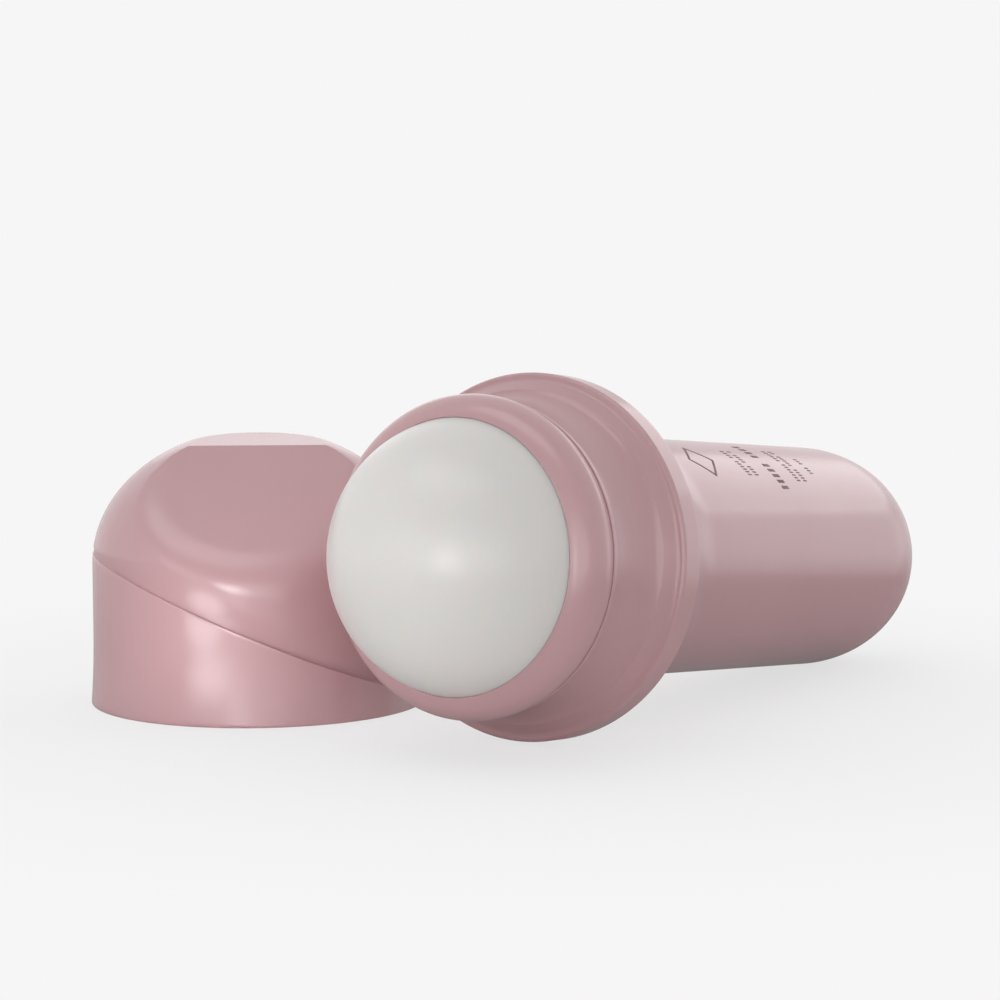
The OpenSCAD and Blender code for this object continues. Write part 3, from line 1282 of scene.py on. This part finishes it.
    def soft_edge(self, turn: float, near: Point, edge: Point, far: Point, steps: int) -> list[Point]:
        """Rounds the edge between the roof and the side, in line with both.

        Args:
            turn: The angle.
            near: The last point of the roof.
            edge: Where the roof and the side would meet.
            far: The first point of the side.
            steps: The number of steps along the rounding.

        Returns:
            The points from near to far.
        """
        corner = crossing(near, edge, far, self.outer_point(far[1] - self.look_down, turn))
        if min(distance(near, corner), distance(corner, far)) < TOO_SHORT:
            return [mix_points(near, far, index / steps) for index in range(steps + 1)]
        return fillet(near, corner, far, half_angle(near, corner, far), steps)

    def roof_points(
        self, turn: float, edge: Point, inset: float, counts: tuple[int, int], blend: float
    ) -> list[Point]:
        """Draws the top face and the facet, from the axis out towards the edge.

        Args:
            turn: The angle.
            edge: Where the side meets them.
            inset: How far the two planes are moved inwards.
            counts: The number of steps on the top face and on the facet.
            blend: How far before the edge the points end.

        Returns:
            The points.
        """
        ridge = min(self.ridge_r(turn, inset), edge[0])
        centre = (0.0, self.top_at(0, turn, inset))
        crest = (ridge, self.roof_at(ridge, turn, inset)) if ridge < edge[0] else edge
        whole = distance(centre, crest) + distance(crest, edge)
        room = distance(crest, edge)
        if room < TOO_SHORT:
            crest = mix_points(centre, edge, 1 - 2 * blend / whole)
            room = 2 * blend
        end = mix_points(crest, edge, 1 - min(blend / room, self.roof_share))
        points = [centre] + stretch(centre, crest, counts[0])
        points += rounded(points[-1], crest, mix_points(crest, end, 1 / counts[1]), self.ridge_round, 4)
        return points + stretch(crest, end, counts[1]) + [end]

    def drop_for(self, turn: float, edge: Point, reach: float) -> float:
        """Finds how far below the edge the side lies a given distance from it.

        Args:
            turn: The angle.
            edge: Where the side meets the facet or the top face.
            reach: The wanted distance.

        Returns:
            The drop.
        """
        return last_passing(
            0.0, reach, lambda drop: distance(self.outer_point(edge[1] - drop, turn), edge) < reach, 30
        )

    def side_points(self, turn: float, edge: Point, steps: int, blend: float) -> list[Point]:
        """Draws the side from below the soft edge down to the step.

        Args:
            turn: The angle.
            edge: Where the side meets the facet or the top face.
            steps: The number of steps down the side.
            blend: How far the soft edge reaches.

        Returns:
            The points.
        """
        foot_h = self.step_at(self.core_at(self.step_at(self.wall_r, turn), turn), turn)
        most = self.side_share * (edge[1] - foot_h)
        first = edge[1] - min(self.drop_for(turn, edge, blend), most)
        heights = [first + (foot_h - first) * index / steps for index in range(steps + 1)]
        return [self.outer_point(height, turn) for height in heights]

    def foot_points(self, turn: float, above: Point, inner_step: Point) -> list[Point]:
        """Draws the step, the wall under it and the rim.

        Args:
            turn: The angle.
            above: The last point of the side over the step.
            inner_step: The step's inner edge.

        Returns:
            The points.
        """
        step_h = self.step_at(self.wall_r, turn)
        outer_step = (self.wall_at(step_h), step_h)
        heights = [step_h * (1 - index / 24) for index in range(1, 24)]
        low_side = [(self.wall_at(height), height) for height in heights]
        rim, inside, chamfer = (self.rim_r, 0.0), (self.rim_in, 0.0), (self.inner_r, self.chamfer_h)
        points = rounded(above, inner_step, outer_step, self.step_in_round, 3)
        points += rounded(inner_step, outer_step, low_side[0], self.step_round, 4) + low_side
        points += rounded(low_side[-1], rim, inside, self.rim_round, 4)
        return points + rounded(rim, inside, chamfer, self.rim_in_round, 3)

    def inside_points(self, turn: float) -> list[Point]:
        """Draws the inside, from the chamfer up to the axis.

        Args:
            turn: The angle.

        Returns:
            The points.
        """
        edge = self.meet(turn, self.chamfer_h, self.inside_at, self.dome_wall)
        roof = self.roof_points(turn, edge, self.dome_wall, (6, 8), self.inner_round)
        heights = [self.chamfer_h + (edge[1] - self.chamfer_h) * index / 24 for index in range(24)]
        side = [(self.inside_at(height), height) for height in heights]
        return side + rounded(side[-1], edge, roof[-1], self.inner_round, 3) + roof[::-1]

    def outline_at(self, turn: float) -> list[Point]:
        """Draws the whole closed outline of the cap's wall.

        Args:
            turn: The angle.

        Returns:
            The outline's points.
        """
        edge = self.outer_edge(turn)
        blend = self.blend_at(turn, edge)
        roof = self.roof_points(turn, edge, 0.0, (14, 24), blend)
        side = self.side_points(turn, edge, 44, blend)
        points = roof[:-1] + self.soft_edge(turn, roof[-1], edge, side[0], 12) + side[1:-1]
        return points + self.foot_points(turn, side[-2], side[-1]) + self.inside_points(turn)

    def corner_turns(self) -> list[float]:
        """Finds the facet's two top corners.

        Returns:
            Their two angles.
        """
        most = math.radians(self.corner_limit)
        turn = last_passing(0.0, most, lambda at: self.ridge_r(at, 0.0) < self.outer_edge(at)[0])
        return [turn, 2 * math.pi - turn]

    def build(self, place: Matrix) -> Piece:
        """Builds the cap as one closed wall and dresses it.

        Args:
            place: Sets the cap down in the frame.

        Returns:
            The piece.
        """
        turns = sorted(even_turns(self.around) + self.corner_turns())
        piece = spin("cap_wall", self.outline_at, turns, place)
        even_shading(piece)
        return seat(piece, ROSE, Body.CAP, Slot.CAP, "cap_shell")


@dataclass
class Liner:
    """The cap's inner liner: sleeve, snap bead and sealing roof with its rib.

    Args:
        outer_r: The radius of the sleeve's outside.
        inner_r: The radius of its bore.
        lower_h: The height of its lower edge above the rim.
        bead_h: The height of the snap bead.
        bead_reach: How far the bead reaches in.
        roof_h: The height of the roof's underside.
        roof_t: The thickness of the roof.
        hole_r: The radius of the hole that the ball passes through.
        rib_h: The height of the sealing rib.
        around: The number of steps round the axis.
    """

    outer_r: float = 19.225 * MM
    inner_r: float = 18.425 * MM
    lower_h: float = 4 * MM
    bead_h: float = 8.1125 * MM
    bead_reach: float = 0.65 * MM
    roof_h: float = 15.06 * MM
    roof_t: float = 1 * MM
    hole_r: float = 15.592 * MM
    rib_h: float = 0.5 * MM
    around: int = 256

    def outline(self) -> list[Point]:
        """Draws the closed outline. Each corner has its own rounding, in millimetres.

        Returns:
            The outline's points.
        """
        top = self.roof_h + self.roof_t
        rib = self.hole_r + 1.5 * self.rib_h
        corners = [
            (self.outer_r, self.lower_h, 0.15),
            (self.outer_r, top, 0.2),
            (self.hole_r, top, 0.2),
            (self.hole_r, self.roof_h, 0.1),
            (rib - self.rib_h, self.roof_h, 0.05),
            (rib, self.roof_h - self.rib_h, 0.15),
            (rib + self.rib_h, self.roof_h, 0.05),
            (self.inner_r, self.roof_h, 0.2),
            (self.inner_r, self.bead_h + self.bead_reach, 0.15),
            (self.inner_r - self.bead_reach, self.bead_h, 0.25),
            (self.inner_r, self.bead_h - self.bead_reach, 0.15),
            (self.inner_r, self.lower_h, 0.25),
        ]
        points = []
        for index, (radius, height, round_mm) in enumerate(corners):
            before = corners[index - 1][:2]
            after = corners[(index + 1) % len(corners)][:2]
            points += rounded(before, (radius, height), after, round_mm * MM, 4)
        return points

    def build(self, place: Matrix) -> Piece:
        """Builds the liner and dresses it.

        Args:
            place: Sets the liner down in the frame.

        Returns:
            The piece.
        """
        outline = self.outline()
        piece = spin("cap_inner_sleeve", lambda turn: outline, even_turns(self.around), place)
        even_shading(piece)
        return seat(piece, NATURAL, Body.CAP, Slot.LINER, "cap_liner")


@dataclass(frozen=True)
class Ticks:
    """The ticks of a printed row.

    Args:
        length: A tick's length along the bottle.
        width: Its width.
        pitch: The distance from tick to tick.
    """

    length: float
    width: float
    pitch: float


FINE_TICKS = Ticks(0.9 * MM, 0.22 * MM, 0.5 * MM)
BOLD_TICKS = Ticks(1.7 * MM, 0.5 * MM, 1.0 * MM)


@dataclass(frozen=True)
class Row:
    """One printed row of plain ticks, which runs round the bottle.

    Args:
        up: The row's height above the flange's widest plane.
        half_turn: How far it reaches to each side of the print's middle, in degrees.
        group: The number of ticks before a gap of one.
        ticks: Its ticks.
    """

    up: float
    half_turn: float
    group: int
    ticks: Ticks


@dataclass
class Print:
    """Plain printed rows of ticks and a lozenge outline, where such a bottle carries its print.

    Args:
        bottle: The bottle that carries the print.
        middle: The angle of the print's middle from the bottle's top, in degrees.
        ink: How far the ink stands off the wall.
        root: How far it goes into the wall.
        lozenge_up: The height of the lozenge's middle.
        lozenge_reach: Half of the lozenge's diagonals.
        lozenge_line: The width of its line.
        rows: The rows of ticks, from the flange towards the base.
    """

    bottle: Bottle
    middle: float = -33.0
    ink: float = 0.02 * MM
    root: float = 0.02 * MM
    lozenge_up: float = -24 * MM
    lozenge_reach: float = 3.1 * MM
    lozenge_line: float = 0.7 * MM
    rows: tuple[Row, ...] = (
        Row(-33.2 * MM, 10, 6, FINE_TICKS),
        Row(-35.0 * MM, 10, 4, FINE_TICKS),
        Row(-40.3 * MM, 18, 5, BOLD_TICKS),
        Row(-45.6 * MM, 13, 7, FINE_TICKS),
        Row(-47.4 * MM, 13, 5, FINE_TICKS),
        Row(-51.3 * MM, 7, 3, FINE_TICKS),
    )

    def on_wall(self, place: Point, lift: float) -> Vector:
        """Finds a point over the bottle's wall.

        Args:
            place: Its height, and its distance round the wall from the print's middle.
            lift: Its distance from the wall.

        Returns:
            The point in the bottle's own frame.
        """
        radius = self.bottle.radius_at(place[0])
        turn = math.radians(self.middle) + place[1] / radius
        return Vector(((radius + lift) * math.cos(turn), (radius + lift) * math.sin(turn), place[0]))

    def strip(
        self, work: bmesh.types.BMesh, left: Sequence[Point], right: Sequence[Point], closed: bool
    ) -> None:
        """Adds a thin strip of ink between two lines on the wall.

        Args:
            work: The mesh that takes the strip.
            left: The points of its one side.
            right: The points of its other side, as many.
            closed: Whether its end joins its start.
        """
        stations = []
        for near, far in zip(left, right):
            corners = ((near, -self.root), (near, self.ink), (far, self.ink), (far, -self.root))
            stations.append([work.verts.new(self.on_wall(place, lift)) for place, lift in corners])
        pairs = list(zip(stations, stations[1:]))
        if closed:
            pairs.append((stations[-1], stations[0]))
        else:
            work.faces.new(stations[0])
            work.faces.new(stations[-1][::-1])
        for here, there in pairs:
            for side in range(4):
                after = (side + 1) % 4
                work.faces.new((here[side], there[side], there[after], here[after]))

    def lozenge(self, work: bmesh.types.BMesh) -> None:
        """Adds the lozenge outline.

        Args:
            work: The mesh that takes it.
        """
        loops = []
        for reach in (self.lozenge_reach - self.lozenge_line / math.sqrt(2), self.lozenge_reach):
            offsets = [(reach * math.cos(turn), reach * math.sin(turn)) for turn in even_turns(4)]
            corners = [(self.lozenge_up + along, around) for along, around in offsets]
            loop = []
            for start, end in zip(corners, corners[1:] + corners[:1]):
                loop += [start] + stretch(start, end, 10)
            loops.append(loop)
        self.strip(work, loops[0], loops[1], True)

    def tick_rows(self, work: bmesh.types.BMesh) -> None:
        """Adds the rows of ticks, in groups.

        Args:
            work: The mesh that takes them.
        """
        for row in self.rows:
            ticks = row.ticks
            reach = math.radians(row.half_turn) * self.bottle.radius_at(row.up)
            count = int(2 * reach / ticks.pitch) + 1
            ends = (row.up - ticks.length / 2, row.up + ticks.length / 2)
            for index in range(count):
                if index % (row.group + 1) == row.group:
                    continue
                middle = (index - (count - 1) / 2) * ticks.pitch
                left = [(end, middle - ticks.width / 2) for end in ends]
                right = [(end, middle + ticks.width / 2) for end in ends]
                self.strip(work, left, right, False)

    def printed(self, name: str, draw: Callable[[bmesh.types.BMesh], None], place: Matrix) -> Piece:
        """Builds one printed piece and dresses it.

        Args:
            name: The piece's name.
            draw: Adds its ink to a mesh.
            place: Sets the piece down in the frame.

        Returns:
            The piece.
        """
        work = bmesh.new()
        draw(work)
        mesh = bpy.data.meshes.new(name)
        work.to_mesh(mesh)
        work.free()
        return seat(finish_mesh(name, mesh, place), INK, Body.BOTTLE, Slot.BOTTLE)

    def build(self, place: Matrix) -> list[Piece]:
        """Builds the lozenge and the rows of ticks."""
        draws = {"printed_lozenge": self.lozenge, "printed_ticks": self.tick_rows}
        return [self.printed(name, draw, place) for name, draw in draws.items()]


def direction(heading: float, rise: float) -> Vector:
    """Returns the direction at a heading round from +X and a rise above the floor, in degrees."""
    turn, up = math.radians(heading), math.radians(rise)
    return Vector((math.cos(turn) * math.cos(up), math.sin(turn) * math.cos(up), math.sin(up)))


def aim(thing: Piece, ahead: Vector) -> None:
    """Turns a lamp or the camera to face along a direction."""
    thing.rotation_mode = "QUATERNION"
    thing.rotation_quaternion = ahead.to_track_quat("-Z", "Y")


@dataclass(frozen=True)
class Softbox:
    """A soft lamp that faces a point of the object and isn't seen itself.

    Args:
        name: The lamp's name.
        bearing: Its direction from the object, in degrees to the right of the camera.
        height: Its angle above the floor, in degrees.
        reach: Its distance from the object.
        size: Its width and height.
        power: Its power in watts.
        target: The point that it faces.
        spread: The angle of its beam, in degrees.
    """

    name: str
    bearing: float
    height: float
    reach: float
    size: Point
    power: float
    target: Spot = (-30 * MM, 0.0, 22 * MM)
    spread: float = 180.0

    def build(self, heading: float) -> None:
        """Builds the lamp.

        Args:
            heading: The way that the camera looks, in degrees round from +X.
        """
        data = bpy.data.lights.new(self.name, "AREA")
        data.shape = "ELLIPSE"
        data.size, data.size_y = self.size
        data.energy = self.power
        data.spread = math.radians(self.spread)
        made = linked(self.name, data)
        away = direction(heading + 180 + self.bearing, self.height)
        made.location = Vector(self.target) + away * self.reach
        aim(made, -away)
        made.visible_camera = False


SOFTBOXES = (
    Softbox("overhead_softbox", -40, 68, 0.6, (0.6, 0.3), 0.6),
    Softbox("front_softbox", 3, 8, 0.8, (0.9, 0.45), 1.35),
    Softbox("left_softbox", -45, 12, 0.8, (0.5, 0.4), 0.42),
    Softbox("cap_side_lamp", -10, 6, 0.14, (0.06, 0.06), 0.0024, (-39 * MM, 6 * MM, 12 * MM), 30),
    Softbox("right_softbox", 118, 4, 0.8, (0.5, 0.45), 0.28),
    Softbox("back_right_softbox", 140, 21, 0.8, (0.55, 0.26), 0.4),
    Softbox("back_softbox", 187, 16, 0.8, (0.4, 0.3), 0.11),
    Softbox(
        "upper_glint", -31, -11, 0.025, (0.018, 0.007), 0.0002, (-43.2 * MM, 14.5 * MM, 14.2 * MM), 60
    ),
    Softbox(
        "lower_glint", -27.8, -6.2, 0.025, (0.022, 0.003), 0.00013, (-43.3 * MM, 13.8 * MM, 5.8 * MM), 60
    ),
    Softbox(
        "ball_glint", -25.5, 1.3, 0.05, (0.008, 0.008), 0.0001, (-55.2 * MM, -28 * MM, 23.8 * MM), 50
    ),
)


@dataclass
class Studio:
    """The camera, the lights, the floor and the backdrop.

    Args:
        eye: Where the camera stands.
        heading: The way that it looks, in degrees round from +X.
        pitch: How far it looks down, in degrees.
        lens: Its focal length, in millimetres.
        sensor: Its sensor's width, in millimetres.
        clip: The nearest and the farthest distance that it sees.
        backdrop: The colour behind the object.
        ambient_most: The strength of the even light from the bright side.
        ambient_least: Its strength from the dim side.
        dim_bearing: The direction of the dim side, in degrees to the right of the camera.
        below: The backdrop's level below the horizon, where only reflections see it.
        below_from: How far down it has that level, as the direction's height.
        floor_half: Half of the floor's side.
        floor_tone: The floor's colour for its own light on the object.
        floor_shown: The floor's colour for the camera.
        floor_fade: The distances from the middle between which the floor fades into the backdrop.
        floor_faded: How far it is faded already where that starts.
    """

    eye: Spot = (-259.8 * MM, -173.3 * MM, 53.3 * MM)
    heading: float = 33.86
    pitch: float = 5.21
    lens: float = 86.4
    sensor: float = 36.0
    clip: Point = (0.01, 20.0)
    backdrop: Colour = linear(246, 246, 246)
    ambient_most: float = 1.58
    ambient_least: float = 0.0
    dim_bearing: float = 0.0
    below: float = 0.3
    below_from: float = -0.25
    floor_half: float = 3.0
    floor_tone: Colour = linear(245, 245, 245)
    floor_shown: Colour = linear(226, 226, 226)
    floor_fade: Point = (0.04, 0.13)
    floor_faded: float = 0.75

    def camera(self) -> None:
        """Makes the camera at the photograph's viewing angle."""
        data = bpy.data.cameras.new("camera")
        data.lens = self.lens
        data.sensor_width = self.sensor
        data.clip_start, data.clip_end = self.clip
        made = linked("camera", data)
        made.location = self.eye
        aim(made, direction(self.heading, -self.pitch))
        bpy.context.scene.camera = made

    def lights(self) -> None:
        """Adds the lamps and the plain world."""
        for softbox in SOFTBOXES:
            softbox.build(self.heading)
        world = bpy.data.worlds.new("studio")
        bpy.context.scene.world = world
        tree = cleared_tree(world)
        where = add_node(tree, "ShaderNodeTexCoord").outputs["Generated"]
        path = add_node(tree, "ShaderNodeLightPath").outputs
        level = self.backdrop_level(tree, where, path["Is Camera Ray"])
        seen = add_node(tree, "ShaderNodeBackground", {"Color": self.backdrop, "Strength": level})
        ambient = add_node(tree, "ShaderNodeBackground", {"Color": self.ambient_shade(tree, where)})
        reflected = reckon(tree, "MAXIMUM", path["Is Glossy Ray"], path["Is Transmission Ray"])
        shown = reckon(tree, "MAXIMUM", path["Is Camera Ray"], reflected)
        surface = mix_shaders(tree, shown, ambient.outputs["Background"], seen.outputs["Background"])
        add_node(tree, "ShaderNodeOutputWorld", {"Surface": surface})

    def backdrop_level(self, tree: Tree, where: Socket, to_camera: Socket) -> Socket:
        """Gives the backdrop's level: full for the camera, and dimmer below the horizon in reflections.

        Args:
            tree: The world's tree.
            where: The direction's socket.
            to_camera: The socket that is 1 for the camera's own rays.

        Returns:
            The socket with the level.
        """
        parts = add_node(tree, "ShaderNodeSeparateXYZ", {"Vector": where})
        ends = {"From Min": self.below_from, "From Max": 0.0, "To Min": self.below}
        lower = remap(tree, parts.outputs["Z"], ends, "SMOOTHSTEP")
        return reckon(tree, "MAXIMUM", to_camera, lower)

    def ambient_shade(self, tree: Tree, where: Socket) -> Socket:
        """Grades the even light from its dim side to its bright side.

        Args:
            tree: The world's tree.
            where: The direction's socket.

        Returns:
            The socket with the grey of the light that comes from each direction.
        """
        dim_side = direction(self.heading + 180 + self.dim_bearing, 0.0)
        along = add_node(tree, "ShaderNodeVectorMath", {0: where, 1: dim_side}, operation="DOT_PRODUCT")
        ends = {"From Min": -1.0, "To Min": self.ambient_most, "To Max": self.ambient_least}
        return remap(tree, along.outputs["Value"], ends)

    def floor(self) -> None:
        """Makes the pale floor, which keeps the shadow and fades into the backdrop."""
        mesh = bpy.data.meshes.new("floor")
        half = self.floor_half
        corners = [(-half, -half, 0), (half, -half, 0), (half, half, 0), (-half, half, 0)]
        mesh.from_pydata(corners, [], [(0, 1, 2, 3)])
        made = linked("floor", mesh)
        made.data.materials.append(self.floor_material())
        made.visible_glossy = False

    def floor_material(self) -> bpy.types.Material:
        """Builds the floor's material: pale and matt near the object, plain backdrop farther off.

        Returns:
            The material.
        """
        made = bpy.data.materials.new("pale_floor")
        tree = cleared_tree(made)
        to_camera = add_node(tree, "ShaderNodeLightPath").outputs["Is Camera Ray"]
        tone = mix_colours(tree, to_camera, self.floor_tone, self.floor_shown)
        matt = add_node(tree, "ShaderNodeBsdfDiffuse", {"Color": tone})
        plain = add_node(tree, "ShaderNodeEmission", {"Color": self.backdrop})
        where = add_node(tree, "ShaderNodeTexCoord").outputs["Object"]
        far = add_node(tree, "ShaderNodeVectorMath", {0: where}, operation="LENGTH").outputs["Value"]
        near_end, far_end = self.floor_fade
        ends = {"From Min": near_end, "From Max": far_end, "To Min": self.floor_faded}
        share = reckon(tree, "MULTIPLY", remap(tree, far, ends, "SMOOTHSTEP"), to_camera)
        surface = mix_shaders(tree, share, matt.outputs["BSDF"], plain.outputs["Emission"])
        add_node(tree, "ShaderNodeOutputMaterial", {"Surface": surface})
        return made


def main() -> None:
    """Builds the studio and each piece in order, and reports the pieces."""
    logging.basicConfig(level=logging.INFO, format="%(name)s %(message)s")
    bpy.context.scene.view_settings.view_transform = "Standard"
    studio = Studio()
    studio.camera()
    studio.lights()
    studio.floor()
    lying = Lying.from_frame()
    head, cap = Head(), Cap()
    bottle = Bottle(head)
    on_bottle = lying.bottle_matrix(head.ball_up)
    on_cap = lying.cap_matrix(cap.facet_turn)
    pieces = [
        bottle.build(on_bottle),
        Housing(head).build(on_bottle),
        Ball(head).build(on_bottle),
        cap.build(on_cap),
        Liner().build(on_cap),
        *Print(bottle).build(on_bottle),
    ]
    for piece in pieces:
        LOG.info("%s: %d vertices", piece.name, len(piece.data.vertices))


if __name__ == "__main__":
    main()
